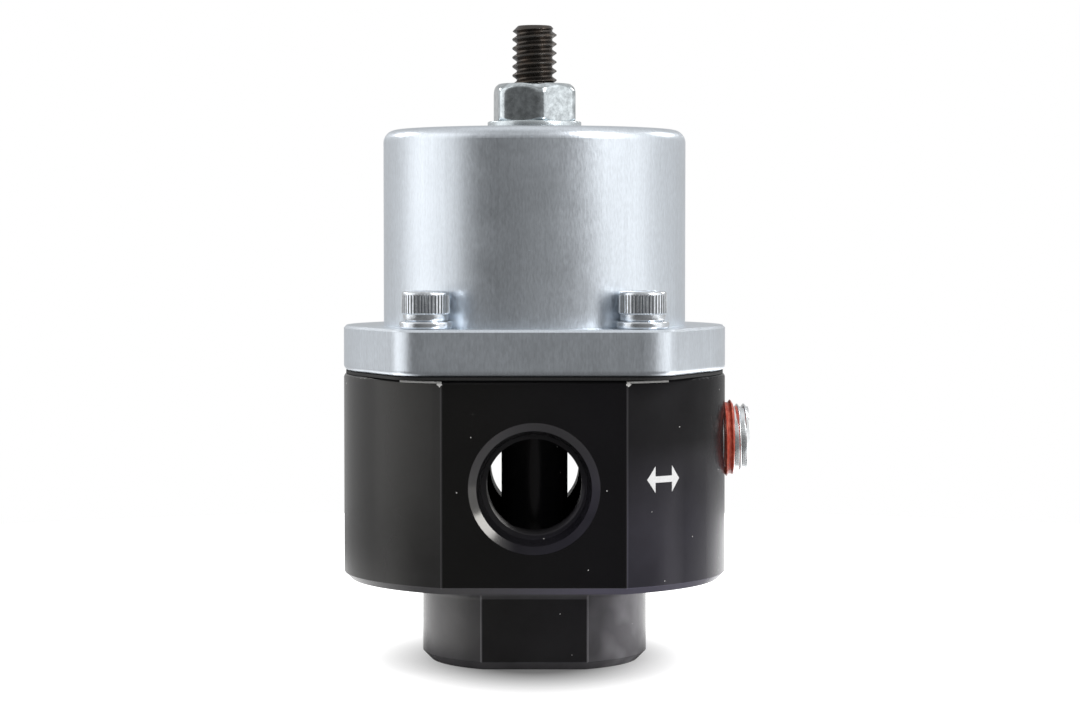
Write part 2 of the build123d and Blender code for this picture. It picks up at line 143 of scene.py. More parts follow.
class RegulatorSizes(PropertyGroup):
    screw_pitch: size_prop("Screw pitch", "Thread pitch of the adjusting screw", 1.27)
    screw_depth: size_prop("Screw thread depth", "Crest to root on the adjusting screw", 0.62)
    screw_socket: size_prop("Screw socket", "Across flats of the adjusting screw's socket", 3.175)
    port_pitch: size_prop("Port pitch", "Thread pitch of the side ports and the return port", 1.411)
    port_major: size_prop("Port major radius", "Radius at the roots of the port thread", 7.15)
    plug_pitch: size_prop("Plug pitch", "Thread pitch of the gauge plug", 0.941)
    plug_depth: size_prop("Plug thread depth", "Crest to root on the gauge plug", 0.42)
    plug_socket: size_prop("Plug socket", "Across flats of the gauge plug's socket", 4.76)
    knurl_teeth: IntProperty(
        name="Knurl teeth", description="Ridges round a cap screw's head",
        default=42, min=12, max=120)
    knurl_depth: size_prop("Knurl depth", "Depth of the grooves in a cap screw's head", 0.15)
    knurl_groove: FloatProperty(
        name="Knurl groove", description="Share of a tooth's pitch that its groove takes",
        default=0.5, min=0.1, max=0.9)
    cap_head: size_prop("Cap screw head", "Radius of a cap screw's head", 3.25)
    cap_head_height: size_prop("Cap screw head height", "Height of a cap screw's head", 4.1)
    cap_socket: size_prop("Cap screw socket", "Across flats of a cap screw's socket", 3.57)
    nut_rounding: size_prop("Nut rounding", "Rounding of the jam nut's edges", 0.3)
    spring_foot: size_prop("Spring foot", "Height of what gives with the valve", 5.3)
    spring_wire: size_prop("Spring wire", "Diameter of the pressure spring's wire", 2.4)
    diaphragm_room: size_prop("Diaphragm room", "Radius inside which it is free", 18.5)
    diaphragm_hole: size_prop("Diaphragm hole", "Radius of the hole for the valve's stem", 2.5)
    mark_height: size_prop("Mark height", "Height of the arrow's heads beside the port", 3.6)


class RegulatorColours(PropertyGroup):
    clear_anodised: colour_prop("Clear anodised", "Bonnet and flange", 0.79, 0.845, 0.905)
    black_anodised: colour_prop("Black anodised", "Body and its boss", 0.0035, 0.0034, 0.0036)
    zinc: colour_prop("Zinc", "Jam nut and sealing washer", 0.72, 0.78, 0.81)
    bright_zinc: colour_prop("Bright zinc", "Cap screws and lock washers", 0.85, 0.89, 0.935)
    plug_zinc: colour_prop("Plug zinc", "Gauge plug", 0.96, 0.98, 0.99)
    black_oxide: colour_prop("Black oxide", "Adjusting screw", 0.078, 0.070, 0.063)
    sealant: colour_prop("Sealant", "Dried thread sealant on the plug", 0.52, 0.070, 0.040)
    mark: colour_prop("Mark", "Print on the body", 0.92, 0.92, 0.92)


class RegulatorStage(PropertyGroup):
    distance: size_prop("Camera distance", "From the regulator's axis to the camera", 410)
    height: size_prop("Camera height", "Above the floor", 59.3)
    aside: size_prop("Aside", "Camera's place to the right of the axis", 0.78)
    lens: FloatProperty(
        name="Lens", description="Focal length for a 36 mm wide frame",
        default=96.3, subtype="DISTANCE_CAMERA")
    tilt: FloatProperty(
        name="Tilt", description="How far the camera looks down",
        default=math.radians(2.39), subtype="ANGLE")


# Numbers in node trees

class Term:
    """A number in a node tree. Sums and comparisons of terms make the Math nodes for them."""

    def __init__(self, tree, socket):
        self.tree = tree
        self.socket = socket

    def math(self, operation, *others):
        node = self.tree.nodes.new("ShaderNodeMath")
        node.operation = operation
        for socket, value in zip(node.inputs, (self, *others)):
            plug(self.tree, socket, value)
        return Term(self.tree, node.outputs[0])

    def __add__(self, other):
        return self.math("ADD", other)

    def __radd__(self, other):
        return self + other

    def __sub__(self, other):
        return self.math("SUBTRACT", other)

    def __rsub__(self, other):
        return self * -1 + other

    def __mul__(self, other):
        return self.math("MULTIPLY", other)

    def __rmul__(self, other):
        return self * other

    def __truediv__(self, other):
        return self.math("DIVIDE", other)

    def __abs__(self):
        return self.math("ABSOLUTE")

    def __lt__(self, other):
        return self.math("LESS_THAN", other)

    def __gt__(self, other):
        return self.math("GREATER_THAN", other)

    def between(self, low, high):
        return self.math("MAXIMUM", low).math("MINIMUM", high)


def plug(tree, socket, value):
    """Puts a term, an output socket or a plain value into an input socket."""
    if isinstance(value, Term):
        value = value.socket
    if isinstance(value, bpy.types.NodeSocket):
        tree.links.new(value, socket)
    else:
        socket.default_value = value


def add_node(tree, kind, settings=None, **inputs):
    """A new node with its settings, and its inputs given by their names with _ for spaces."""
    node = tree.nodes.new(kind)
    for key, value in (settings or {}).items():
        setattr(node, key, value)
    for key, value in inputs.items():
        plug(tree, node.inputs[key.replace("_", " ")], value)
    return node


def join_vector(tree, x, y, z):
    node = tree.nodes.new("ShaderNodeCombineXYZ")
    for socket, value in zip(node.inputs, (x, y, z)):
        plug(tree, socket, value)
    return node.outputs[0]


def split_vector(tree, vector):
    node = tree.nodes.new("ShaderNodeSeparateXYZ")
    tree.links.new(vector, node.inputs[0])
    return [Term(tree, out) for out in node.outputs]


# Meshes

def polar(radius, angle, z):
    return radius * math.cos(angle), radius * math.sin(angle), z


def new_object(name, data):
    """An object with that mesh, light or camera, linked to the scene."""
    obj = bpy.data.objects.new(name, data)
    bpy.context.scene.collection.objects.link(obj)
    return obj


class Shaping:
    """A with block on a bmesh of the source, which becomes the mesh when the block ends."""

    def __init__(self, mesh, source=None):
        self.mesh, self.bm = mesh, bmesh.new()
        if source:
            self.bm.from_mesh(source)

    def __enter__(self):
        return self.bm

    def __exit__(self, *error):
        self.bm.to_mesh(self.mesh)
        self.bm.free()


def from_rows(name, rows, loop=False):
    """A closed mesh through rings of points. The last ring joins the first in a loop."""
    mesh = bpy.data.meshes.new(name)
    with Shaping(mesh) as bm:
        made = [[bm.verts.new(p) for p in row] for row in rows]
        count = len(made[0])
        for low, high in zip(made, made[1:] + made[:1] if loop else made[1:]):
            for i in range(count):
                j = (i + 1) % count
                bm.faces.new((low[i], low[j], high[j], high[i]))
        if not loop:
            bm.faces.new(made[0][::-1])
            bm.faces.new(made[-1])
    return new_object(name, mesh)


def evaluated(obj):
    """Turns the object's modifiers into its mesh and removes them."""
    graph = bpy.context.evaluated_depsgraph_get()
    mesh = bpy.data.meshes.new_from_object(obj.evaluated_get(graph))
    obj.modifiers.clear()
    old = obj.data
    obj.data = mesh
    if old.users == 0:
        bpy.data.meshes.remove(old)
    return obj


def is_closed(mesh):
    bm = bmesh.new()
    bm.from_mesh(mesh)
    closed = all(len(edge.link_faces) == 2 for edge in bm.edges)
    bm.free()
    return closed


def cut(obj, *cutters):
    """Takes the cutters out of the object and removes them."""
    for cutter in cutters:
        modifier = obj.modifiers.new("Cut", "BOOLEAN")
        modifier.operation = "DIFFERENCE"
        modifier.solver = "EXACT"
        modifier.object = cutter
        evaluated(obj)
        mesh = cutter.data
        bpy.data.objects.remove(cutter)
        bpy.data.meshes.remove(mesh)
    if not is_closed(obj.data):
        raise RuntimeError(obj.name + " isn't closed after its cuts")
    return obj


def moved(obj, matrix):
    obj.data.transform(matrix)
    obj.data.update()
    return obj


def smooth(obj, degrees=35):
    """Smooth shading, with the faces weighted by their area and hard edges kept."""
    with Shaping(obj.data, obj.data) as bm:
        for face in bm.faces:
            face.smooth = True
        for edge in bm.edges:
            edge.smooth = edge.calc_face_angle(0.0) < math.radians(degrees)
    modifier = obj.modifiers.new("Weighted normals", "WEIGHTED_NORMAL")
    modifier.keep_sharp = True
    return evaluated(obj)


def joined_copy(node, name):
    """A copy of a CAD node's mesh with its triangles joined and flat faces made whole."""
    mesh = bpy.data.meshes.new(name)
    with Shaping(mesh, frame["nodes"][node].data) as bm:
        bmesh.ops.remove_doubles(bm, verts=bm.verts, dist=MERGE)
        bmesh.ops.dissolve_limit(bm, angle_limit=FLAT, verts=bm.verts, edges=bm.edges)
    normals = mesh.attributes.get("custom_normal")
    if normals:
        mesh.attributes.remove(normals)
    return new_object(name, mesh)


def hexagon_prism(name, across, low, high, turn=0.0):
    """A cutter for a socket, along Z."""
    radius = across / math.sqrt(3)
    corners = [turn + i * TAU / 6 for i in range(6)]
    return from_rows(name, [[polar(radius, angle, z) for angle in corners] for z in (low, high)])


def coat(obj, material):
    """Gives a made piece its material."""
    obj.data.materials.clear()
    obj.data.materials.append(material)


def finish_piece(obj, body, slot, material, *nodes):
    """Gives a made piece its material and its body, and hides the nodes that it stands for. The
    slot is not used.
    """
    coat(obj, material)
    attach(obj, body)
    if nodes:
        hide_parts(*nodes)


def finish_bending(obj, material, node):
    """Gives a piece its material, bakes its place into its mesh and hides the node that it stands
    for.
    """
    coat(obj, material)
    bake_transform(obj)
    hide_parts(node)


# Geometry Nodes trees

def new_tree(name, lengths, counts):
    """A node group that takes those inputs and a material, and its inputs as terms."""
    tree = bpy.data.node_groups.new(name, "GeometryNodeTree")
    face = tree.interface
    face.new_socket("Geometry", in_out="INPUT", socket_type="NodeSocketGeometry")
    for kind, inputs in (("NodeSocketFloat", lengths), ("NodeSocketInt", counts)):
        for label, value in inputs.items():
            face.new_socket(label, in_out="INPUT", socket_type=kind).default_value = value
    face.new_socket("Material", in_out="INPUT", socket_type="NodeSocketMaterial")
    face.new_socket("Geometry", in_out="OUTPUT", socket_type="NodeSocketGeometry")
    given = tree.nodes.new("NodeGroupInput")
    return tree, {out.name: Term(tree, out) for out in given.outputs if out.name}


def end_tree(tree, geometry, material):
    real = add_node(tree, "GeometryNodeRealizeInstances", Geometry=geometry)
    painted = add_node(
        tree, "GeometryNodeSetMaterial", Geometry=real.outputs[0], Material=material)
    out = tree.nodes.new("NodeGroupOutput")
    tree.links.new(painted.outputs[0], out.inputs[0])
    return tree


THREAD_LENGTHS = {
    "Radius": 0.003, "Depth": 0.0006, "Pitch": 0.00127, "Length": 0.02,
    "Low chamfer": 0.0, "High chamfer": 0.0, "Taper": 0.0, "Crest": 0.12, "Root": 0.22,
}
THREAD_COUNTS = {"Columns": 72, "Rows": 100, "Rows per pitch": 12}


def thread_tree():
    """Rolls a grid into a threaded rod along Z: its columns go round and its rows go up."""
    tree, value = new_tree("Thread", THREAD_LENGTHS, THREAD_COUNTS)
    grid = add_node(
        tree, "GeometryNodeMeshGrid", Size_X=1.0, Size_Y=1.0,
        Vertices_X=value["Columns"] + 1, Vertices_Y=value["Rows"] + 1)
    x, y, _ = split_vector(tree, tree.nodes.new("GeometryNodeInputPosition").outputs[0])
    around = x + 0.5
    step = ((y + 0.5) * value["Rows"]).math("ROUND")
    # the first and the last row close the ends
    is_end = (step < 0.5) + (step > value["Rows"] - 0.5)
    turns = (step - 1).math("MAXIMUM", 0.0) / value["Rows per pitch"] - 1 + around
    height = (turns * value["Pitch"]).between(0.0, value["Length"])

    turn = (height / value["Pitch"] - around + 0.5).math("FRACT")
    off_crest = abs(turn - 0.5) * 2
    slope = (off_crest - value["Crest"]) / (1 - value["Crest"] - value["Root"])
    from_top = value["Length"] - height
    radius = value["Radius"] - value["Taper"] * from_top
    threaded = radius - value["Depth"] * slope.between(0.0, 1.0)
    low_cap = radius - (value["Low chamfer"] - height).math("MAXIMUM", 0.0)
    high_cap = radius - (value["High chamfer"] - from_top).math("MAXIMUM", 0.0)
    reach = threaded.math("MINIMUM", low_cap).math("MINIMUM", high_cap) * (1 - is_end)

    angle = around * TAU
    place = join_vector(tree, reach * angle.math("COSINE"), reach * angle.math("SINE"), height)
    rolled = add_node(
        tree, "GeometryNodeSetPosition", Geometry=grid.outputs["Mesh"], Position=place)
    merged = add_node(
        tree, "GeometryNodeMergeByDistance", Geometry=rolled.outputs[0], Distance=MERGE)
    return end_tree(tree, merged.outputs[0], value["Material"])


def run_tree(name, tree, mesh=None, **inputs):
    """A new object made by the tree, with the tree's inputs given by their names."""
    obj = new_object(name, mesh or bpy.data.meshes.new(name))
    modifier = obj.modifiers.new(tree.name, "NODES")
    modifier.node_group = tree
    sockets = {i.name: i.identifier for i in tree.interface.items_tree
               if i.item_type == "SOCKET" and i.in_out == "INPUT"}
    for label, value in inputs.items():
        modifier[sockets[label.replace("_", " ")]] = value
    return evaluated(obj)


def threaded_rod(name, material=None, steps=12, columns=72, **sizes):
    """A rod with a right-hand thread, from z = 0 up to its length."""
    turns = sizes["Length"] / sizes["Pitch"] + 1
    tree = bpy.data.node_groups.get("Thread") or thread_tree()
    return run_tree(
        name, tree, Columns=columns, Rows=math.ceil(turns * steps - HAIR) + 2,
        Rows_per_pitch=steps, Material=material, **sizes)


# Finishes

def new_material(name):
    material = bpy.data.materials.new(name)
    material.use_nodes = True
    tree = material.node_tree
    return material, tree, tree.nodes["Principled BSDF"]


def object_coordinates(tree, stretch=(1, 1, 1)):
    where = tree.nodes.new("ShaderNodeTexCoord").outputs["Object"]
    mapping = add_node(tree, "ShaderNodeMapping", Vector=where, Scale=stretch)
    return mapping.outputs[0]


def place_parts(tree):
    """X, Y and Z of a point of the piece, in metres."""
    return split_vector(tree, object_coordinates(tree))


def noise(tree, size, stretch=(1, 1, 1), detail=2.0, roughness=0.5):
    """Noise whose lumps are about that size in metres."""
    node = add_node(
        tree, "ShaderNodeTexNoise", Vector=object_coordinates(tree, stretch),
        Scale=1 / size, Detail=detail, Roughness=roughness)
    return Term(tree, node.outputs[0])


def hypotenuse(x, y):
    """Length of the vector with those two parts."""
    return (x * x + y * y).math("SQRT")


def ring_noise(tree, size):
    """Noise that runs in rings round the Z axis, as a facing cut leaves."""
    x, y, z = place_parts(tree)
    node = add_node(
        tree, "ShaderNodeTexNoise", Vector=join_vector(tree, hypotenuse(x, y), z * 0.02, 0.0),
        Scale=1 / size, Detail=2.0)
    return Term(tree, node.outputs[0])


def dust(tree, cell, size, sparse):
    """1 on tiny specks, one in some of the cells of a random pattern."""
    node = add_node(
        tree, "ShaderNodeTexVoronoi", Vector=object_coordinates(tree), Scale=1 / cell)
    chance = split_vector(tree, node.outputs["Color"])[0]
    return (Term(tree, node.outputs["Distance"]) < size) * (chance > sparse)


def spread(term, low, high, new_low=0.0, new_high=1.0):
    """The term's range low to high, made new_low to new_high and held there."""
    node = add_node(
        term.tree, "ShaderNodeMapRange", Value=term, From_Min=low, From_Max=high,
        To_Min=new_low, To_Max=new_high)
    return Term(term.tree, node.outputs[0])


def vary(grain, low, high):
    """Noise, most of which lies from 0.3 to 0.7, made low to high."""
    return spread(grain, 0.3, 0.7, low, high)


def opaque(colour, shares=(1, 1, 1)):
    """The colour with each channel times its share, and no transparency."""
    return (*(c * s for c, s in zip(colour, shares)), 1.0)


def tinted(tree, colour, term):
    """A colour, or a socket's, made darker or lighter by a term that stands about 1."""
    node = add_node(tree, "ShaderNodeVectorMath", {"operation": "SCALE"})
    is_socket = isinstance(colour, bpy.types.NodeSocket)
    plug(tree, node.inputs[0], colour if is_socket else tuple(colour)[:3])
    plug(tree, node.inputs["Scale"], term)
    return node.outputs[0]


def mixed(tree, factor, first, second):
    node = tree.nodes.new("ShaderNodeMix")
    node.data_type = "RGBA"
    plug(tree, node.inputs["Factor"], factor)
    for socket, value in zip((node.inputs[6], node.inputs[7]), (first, second)):
        plug(tree, socket, value)
    return node.outputs[2]


def set_look(tree, shader, colour, roughness, height, depth, metallic=0.0):
    """Colour, roughness and metallic of the shader, and bump of that depth in metres."""
    plug(tree, shader.inputs["Base Color"], colour)
    plug(tree, shader.inputs["Roughness"], roughness)
    shader.inputs["Metallic"].default_value = metallic
    node = add_node(tree, "ShaderNodeBump", Strength=1.0, Distance=depth, Height=height)
    tree.links.new(node.outputs[0], shader.inputs["Normal"])


def normal_parts(tree):
    """How far the surface faces along X, Y and Z, from 0 to 1."""
    normal = tree.nodes.new("ShaderNodeNewGeometry").outputs["Normal"]
    return [abs(part) for part in split_vector(tree, normal)]


def anodised_clear(colour):
    """Clear anodised aluminium with an upright grain, and rings where it was faced."""
    material, tree, shader = new_material("clear_anodised_grain")
    upright = noise(tree, 0.22 * MM, (1, 1, 0.28), detail=3.0)
    long_lines = noise(tree, 0.5 * MM, (1, 1, 0.03))
    level = normal_parts(tree)[2].math("POWER", 6.0)
    grain = upright * (1 - level) + ring_noise(tree, 0.12 * MM) * level
    cloud = noise(tree, 6 * MM, detail=3.0)
    specks = dust(tree, 3.0 * MM, 0.03, 0.6)
    shade = vary(grain, 0.93, 1.06) * vary(long_lines, 0.97, 1.03)
    rough = vary(cloud, 0.31, 0.37) + vary(grain, -0.03, 0.03) + specks * 0.5
    set_look(tree, shader, tinted(tree, colour, shade), rough, grain, 0.011 * MM, 1.0)
    return material


def off_lines(tree, place):
    """Distance from the upright line at that x and y, or from its nearest mirror image."""
    x, y, _ = place_parts(tree)
    return hypotenuse(abs(x) - place[0], abs(y) - place[1])


def corner_highlight(tree, place):
    """1 on the upright corners at that x and y, where a highlight is painted, and 0 beside them."""
    return spread(off_lines(tree, place), 0.076 * MM, 0.19 * MM, 1.0, 0.0)


def rim_highlight(tree):
    """1 where a highlight is painted on the rim in front: a line from each flat's end, and a glint
    on it.
    """
    flat_end, line_start, line_end = 12.7 * MM, 12.4 * MM, 18.2 * MM
    glint_z, glint_size, ragged_size = 39.95 * MM, 0.62 * MM, 0.35 * MM
    x, y, z = place_parts(tree)
    along = abs(x)
    line = (abs(z - RIM_Z) < 0.13 * MM) * (along > line_start) * (along < line_end)
    off_glint = abs(along - flat_end) + abs(z - glint_z)
    ragged = noise(tree, ragged_size) * 0.5 * MM
    rim_glint = off_glint + ragged < glint_size
    return line.math("MAXIMUM", rim_glint) * (y < 0.0)


def anodised_black(colour):
    """Satin black anodising: greyer where the metal was turned, some dust, and painted light on the
    boss, the rim, the edges and the corners.
    """
    material, tree, shader = new_material("black_anodised_satin")
    x, y, z = place_parts(tree)

    # zones, each 1 inside and 0 outside
    turned = spread(normal_parts(tree)[1], 0.985, 0.999, 1.0, 0.0)
    on_boss = z < BOSS_TOP
    mouth = (hypotenuse(x, z - PORT_Z) < MOUTH_RADIUS) * (abs(y) > MOUTH_Y)
    low_edge = (z < BODY_EDGE_TOP) * (1 - on_boss)
    flat_end = (z > BOSS_FLAT_HIGH) + (z < BOSS_FLAT_LOW)
    right = spread(x, -8 * MM, 8 * MM)
    upper = spread(z, 20 * MM, 32 * MM)
    streak = spread(abs(x - 22 * MM), 1.5 * MM, 4 * MM, 0.8, 0.0)
    mouth_left = spread(x, -5.4 * MM, -2.4 * MM, 1.0, 0.0)
    mouth_low = spread(z, 18.4 * MM, 21.5 * MM, 1.0, 0.0)

    # how many times paler than the dye each zone is: turned faces are greyer, and the rest is
    # painted light on the boss, its flats' ends, the lower edge, the port's mouth and the corners
    cloud = noise(tree, 9 * MM, detail=4.0)
    lumps = spread(noise(tree, 3.8 * MM, detail=0.6), 0.42, 0.72)
    # painted light from the floor on the front of the boss, paler towards its sides
    front_half = spread(y, -7 * MM, -2 * MM, 1.0, 0.0)
    painted_side_light = spread(abs(x), 9 * MM, 14 * MM, 0, 18)
    blotches = lumps * spread(x, 5 * MM, 11 * MM, 0, 28)
    boss_painted_light = 5 + front_half * (6 + painted_side_light + blotches)
    # turned faces are greyer, and the boss's flats get painted light
    paleness_and_painted_light = turned * (on_boss * boss_painted_light + 3.6) + on_boss * 4 + 1
    # painted highlights on the upright corners of the body's and the boss's flats
    corner_highlights = corner_highlight(tree, BODY_CORNER) * 10 + corner_highlight(tree, BOSS_CORNER) * 34
    # painted light: the port's mouth paler towards its top, the broken edge below the body and the
    # ends of the boss's flats paler
    cuts = (mouth * spread(z, 22 * MM, 27 * MM, 1, 11) + low_edge * 20
            + on_boss * flat_end * (1 - turned * 0.7) * 22)

    # the body is more violet at the lower right, and its reflections warmer on the left
    violet = right * turned * (1 - on_boss) * (1 - upper)
    dye = mixed(tree, violet, opaque(colour), opaque(colour, (1.3, 1.26, 1.62)))
    base = tinted(tree, dye, vary(cloud, 0.8, 1.3) * paleness_and_painted_light + corner_highlights + cuts)
    fine = noise(tree, 0.07 * MM)
    lines = noise(tree, 0.2 * MM, (0.04, 0.04, 1))
    specks = dust(tree, 2.0 * MM, 0.036, 0.55)
    rough = (vary(cloud, 0.16, 0.21) + vary(fine, -0.02, 0.02)
             + turned * 0.05 + specks * 0.4 - mouth * 0.08)
    # white on dust specks, and a painted highlight on the rim in front
    dust_and_rim_highlight = specks.math("MAXIMUM", rim_highlight(tree))
    set_look(tree, shader, mixed(tree, dust_and_rim_highlight, base, DUST_AND_HIGHLIGHT_WHITE), rough,
             lines * 0.5 + fine * 0.5, 0.0012 * MM)
    dull = upper.math("MAXIMUM", streak) * right * turned * 0.36
    shiny = mouth * (mouth_left * 1.4 - 0.4) * 0.6 - mouth * mouth_low * (1 - mouth_left) * 0.13
    plug(tree, shader.inputs["Specular IOR Level"], 0.4 - dull + shiny)
    plug(tree, shader.inputs["Specular Tint"],
         mixed(tree, right, (1.0, 0.98, 0.92, 1), (0.94, 0.90, 1.0, 1)))
    return material


def groove_shade(tree):
    """Painted shade: dark in the grooves of the cap screws' knurls, and 1 elsewhere."""
    z = place_parts(tree)[2]
    deep = spread(off_lines(tree, CAP_AXIS), 3.12 * MM, 3.22 * MM, 1.0, 0.0)
    on_knurl = (z > CAP_HIGH.z - 2.95 * MM) * (z < CAP_HIGH.z - 0.6 * MM)
    return 1 - deep * on_knurl * 0.45


def zinc_plate(name, colour, cloudy, rough, size=0.7 * MM, pitted=0.3, deep=0.012 * MM,
               knurled=False):
    """Zinc plating: bright metal with a cloudy bloom and small tool marks."""
    material, tree, shader = new_material(name)
    cloud = noise(tree, size, detail=6.0, roughness=0.65)
    fine = noise(tree, size / 7, detail=3.0)
    bloom = spread(cloud, 0.38, 0.62, 1 - cloudy, 1 + cloudy / 3)
    if knurled:
        # painted shade in the knurls' grooves
        bloom = bloom * groove_shade(tree)
    dulled = spread(cloud, 0.35, 0.65, rough + 0.10, rough) + vary(fine, -0.02, 0.03)
    set_look(tree, shader, tinted(tree, colour, bloom), dulled,
             cloud * 0.7 + fine * pitted, deep, 1.0)
    return material


def oxide_black(colour):
    """Black oxide under a thin film of oil, browner where it has worn."""
    material, tree, shader = new_material("black_oxide_oiled")
    cloud = noise(tree, 1.6 * MM, detail=5.0, roughness=0.6)
    fine = noise(tree, 0.12 * MM, detail=3.0)
    worn = spread(cloud, 0.45, 0.7)
    brown = opaque(colour, (1.6, 1.4, 1.25))
    set_look(tree, shader, mixed(tree, worn, opaque(colour), brown), vary(cloud, 0.2, 0.34),
             cloud * 0.4 + fine * 0.6, 0.007 * MM, 0.85)
    return material


def turned_metal(name, colour, rough=0.28):
    """Plain turned metal for the inner pieces and the hose tail."""
    material, tree, shader = new_material(name)
    rings = ring_noise(tree, 0.15 * MM)
    cloud = noise(tree, 2.5 * MM, detail=3.0)
    set_look(tree, shader, tinted(tree, colour, vary(rings, 0.9, 1.06)),
             vary(cloud, rough, rough + 0.1), rings, 0.006 * MM, 1.0)
    return material


def soft_rubber(name, weave=0.0):
    """Black rubber, with a cloth's weave showing through where it has one."""
    material, tree, shader = new_material(name)
    fine = noise(tree, 0.15 * MM, detail=4.0)
    x, y, _ = place_parts(tree)
    per_yarn = TAU / (0.5 * MM)
    cloth = (x * per_yarn).math("SINE") * (y * per_yarn).math("SINE") * weave
    set_look(tree, shader, tinted(tree, (0.012, 0.012, 0.012), vary(fine, 0.7, 1.4)),
             vary(fine, 0.6, 0.75), fine + cloth, 0.02 * MM)
    return material


def dried_sealant(colour):
    """Thread sealant: a red-brown paste, dried unevenly, darker where it lies thick."""
    material, tree, shader = new_material("sealant_dried")
    lumps = noise(tree, 0.8 * MM, detail=5.0, roughness=0.6)
    fine = noise(tree, 0.12 * MM, detail=3.0)
    pale = opaque(colour, (1.5, 2.6, 2.8))
    where_thin = spread(lumps, 0.45, 0.68)
    set_look(tree, shader, mixed(tree, where_thin, opaque(colour), pale),
             vary(fine, 0.22, 0.4), lumps * 0.6 + fine * 0.4, 0.05 * MM)
    return material


def printed_mark(colour):
    """White print with a slightly worn, uneven coat."""
    material, tree, shader = new_material("mark_print")
    worn = noise(tree, 0.3 * MM, detail=4.0)
    set_look(tree, shader, tinted(tree, colour, vary(worn, 0.92, 1.04)),
             vary(worn, 0.5, 0.62), worn, 0.004 * MM)
    return material


def paint_node(node, material):
    for slot in frame["nodes"][node].material_slots:
        slot.material = material


# Shapes of the pieces

def port_threads(sizes):
    """Cutters with a thread's shape for the two side ports and the return port."""
    rod = {"Radius": sizes.port_major, "Depth": 0.75 * MM, "Pitch": sizes.port_pitch, "steps": 8}
    side_start, side_length = 11.5 * MM, 9.1 * MM           # from the body's axis outwards
    return_start, return_length = 3.35 * MM, 8.6 * MM       # from the body's foot upwards
    made = []
    for name, turn in (("inlet_port", TAU / 4), ("outlet_port", -TAU / 4)):
        middle = mount_place(name)
        start = Vector((0, math.copysign(side_start, middle.y), middle.z))
        cutter = threaded_rod(name + "_thread", Length=side_length, **rod)
        made.append(moved(cutter, Matrix.Translation(start) @ Matrix.Rotation(turn, 4, "X")))
    foot = Vector((0, 0, BODY_LOW.z + return_start))
    cutter = threaded_rod("return_port_thread", Length=return_length, **rod)
    return [*made, moved(cutter, Matrix.Translation(foot))]


def flow_mark(sizes):
    """A plain arrow with two heads, printed on the round of the body beside the port."""
    radius = half_width(BODY_LOW, BODY_HIGH)
    middle_angle, half_angle = math.radians(40.5), math.radians(6.2)
    middle_z = BODY_LOW.z + 27.0 * MM
    sunk, proud = 0.02 * MM, 0.015 * MM
    head, shaft = 0.48, 0.24        # shares of half the length, and of the height
    tip = 0.02
    heads = [(side * (1 - head * share), max(tip, share))
             for side in (-1, 1) for share in (0.0, 0.25, 0.5, 0.75, 1.0)]
    shafts = [((1 - head) * along * 0.999, shaft) for along in (-1, -0.5, 0, 0.5, 1)]
    rows = []
    for along, share in sorted(heads + shafts):
        half = sizes.mark_height / 2 * share
        angle = middle_angle + along * half_angle
        rows.append([
            (r * math.sin(angle), -r * math.cos(angle), middle_z + z)
            for r, z in ((radius - sunk, -half), (radius - sunk, half),
                         (radius + proud, half), (radius + proud, -half))])
    return from_rows("flow_mark", rows)


def hexagon_radius(across, angle):
    """Radius of a hexagon in that direction, with a corner at 0."""
    beside_flat = math.remainder(angle - TAU / 12, TAU / 6)
    return across / 2 / math.cos(beside_flat)


def soft_least(values, size):
    """The least of the values, rounded over where two of them meet."""
    least = min(values)
    return least - size * math.log(sum(math.exp((least - v) / size) for v in values))


def ring(radius, z, columns, turn=0.0):
    """A row of points round Z. The radius is a number or depends on the angle."""
    angles = [i * TAU / columns for i in range(columns)]
    reach = radius if callable(radius) else lambda angle: radius
    return [polar(reach(angle), angle + turn, z) for angle in angles]


def cap_screw(sizes):
    """A socket cap screw with a knurled head. z = 0 is the seat of its head."""
    columns = sizes.knurl_teeth * 8
    head, high = sizes.cap_head, sizes.cap_head_height
    shank, tip_z = 1.65 * MM, CAP_LOW.z - (CAP_HIGH.z - high)
    band, band_high = head - 0.2 * MM, 0.92 * MM    # the smooth band below the knurl
    rim = 0.52 * MM                 # rounding of the head's upper edge, above the knurl
    run_out = 0.16 * MM             # where the grooves end below the rim
    socket_depth, socket_bevel = 2.0 * MM, 0.16 * MM
    knurl_low, knurl_high = band_high + head - band, high - rim

    def envelope(z):
        if z < knurl_low:
            return band + max(0.0, z - band_high)
        over = max(0.0, z - knurl_high)
        return head - rim + math.sqrt(rim * rim - over * over)

    def knurled(z):
        depth = sizes.knurl_depth * min(1.0, max(0.0, (knurl_high - z) / run_out))

        def radius(angle):
            off_groove = 2 * abs(angle * sizes.knurl_teeth / TAU % 1 - 0.5)
            groove = max(0.0, 1 - off_groove / sizes.knurl_groove)
            return min(head - depth * groove, envelope(z))
        return radius

    def socket(angle):
        return hexagon_radius(sizes.cap_socket, angle)

    below = [
        (shank - 0.4 * MM, tip_z), (shank, tip_z + 0.4 * MM), (shank, 0.0),
        (band - 0.22 * MM, 0.0), (band - 0.06 * MM, 0.1 * MM), (band, 0.24 * MM), (band, band_high)]
    heights = [band_high + 0.05 * MM, knurl_low - sizes.knurl_depth, knurl_low - 0.04 * MM,
               knurl_low, knurl_high - run_out, knurl_high]
    heights += [knurl_high + rim * math.sin(math.radians(a)) for a in (20, 35, 48, 60, 71, 81)]
    above = [
        (head - rim - 0.02 * MM, high), (sizes.cap_socket / 2 * 1.17, high),
        (socket, high - socket_bevel), (socket, high - socket_depth)]
    profile = [*below, *((knurled(z), z) for z in heights), *above]
    return from_rows("cap_screw", [ring(r, z, columns) for r, z in profile])


